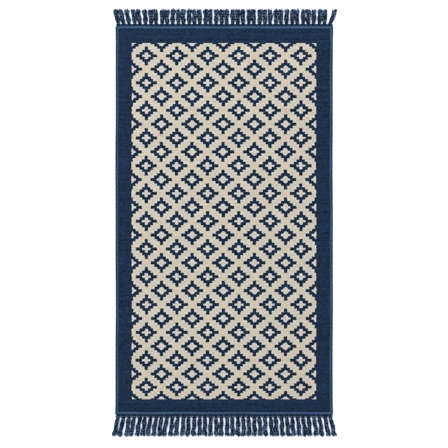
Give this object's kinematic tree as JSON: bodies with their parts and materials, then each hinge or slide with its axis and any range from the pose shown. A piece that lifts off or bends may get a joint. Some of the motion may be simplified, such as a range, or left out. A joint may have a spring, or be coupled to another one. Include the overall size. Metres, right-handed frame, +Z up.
{
  "type": "reversible kilim rug",
  "caption": "Flat-woven reversible rug with a stepped diamond field, a plain dark border and tasselled fringe at both ends, lying flat on the floor.",
  "frame": {"origin": "Centre of the underside of the woven body, on the floor", "axes": "X runs across the rug, Y along it from the long fringe to the short one, Z up"},
  "size_m": [0.722, 1.3795, 0.0052],
  "materials": {
    "woven_cloth": "flat-woven navy and natural beige yarn, matt",
    "fringe_yarn": "plied navy yarn, matt"
  },
  "bodies": {
    "root": {"rug_cloth": "woven_cloth", "fringe_top": "fringe_yarn", "fringe_bottom": "fringe_yarn"}
  },
  "joints": []
}
